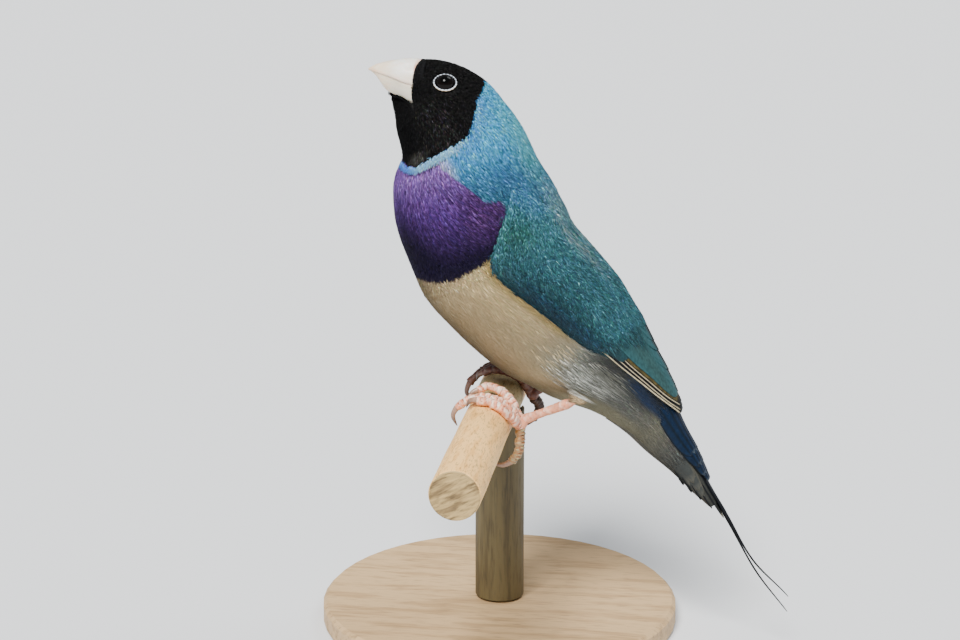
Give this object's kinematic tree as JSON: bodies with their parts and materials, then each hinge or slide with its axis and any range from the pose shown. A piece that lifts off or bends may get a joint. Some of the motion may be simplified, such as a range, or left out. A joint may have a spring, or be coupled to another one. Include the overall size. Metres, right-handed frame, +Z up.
{
  "type": "gouldian finch on a perch",
  "caption": "Life-size still model of a small upright songbird with a fine forked tail, gripping a short dowel perch held by a plain round stand.",
  "frame": {"origin": "centre of the round base's underside, on the floor", "axes": "+Z up, the bird faces -X with its left side towards -Y, and the perch runs along Y"},
  "size_m": [0.1, 0.102, 0.1223],
  "materials": {
    "bill": "satin horn, ivory with a faint warm edge",
    "claw": "semi-gloss brownish horn",
    "eye": "wet gloss",
    "leg_skin": "dry scaled pink skin",
    "head_feather": "velvet black short feathers",
    "neck_feather": "soft sky-blue feathers",
    "breast_feather": "dense violet feathers",
    "rump_feather": "blue covert feathers",
    "belly_feather": "loose cream feathers",
    "wing_feather": "teal feathers with dark quills",
    "tail_feather": "black feathers",
    "wood": "bare sanded dowel"
  },
  "bodies": {
    "root": {"bill_lower": "bill", "bill_upper": "bill", "breast": "breast_feather", "claw_hallux_left": "claw", "claw_hallux_right": "claw", "claw_inner_left": "claw", "claw_inner_right": "claw", "claw_middle_left": "claw", "claw_middle_right": "claw", "claw_outer_left": "claw", "claw_outer_right": "claw", "eye_left": "eye", "eye_right": "eye", "foot_left": "leg_skin", "foot_right": "leg_skin", "head": "head_feather", "neck": "neck_feather", "perch": "wood", "rump": "rump_feather", "stand_base": "wood", "stand_post": "wood", "tail": "tail_feather", "tarsus_left": "leg_skin", "tarsus_right": "leg_skin", "thigh_left": "belly_feather", "thigh_right": "belly_feather", "torso": "belly_feather", "wing_left": "wing_feather", "wing_right": "wing_feather"}
  },
  "joints": []
}
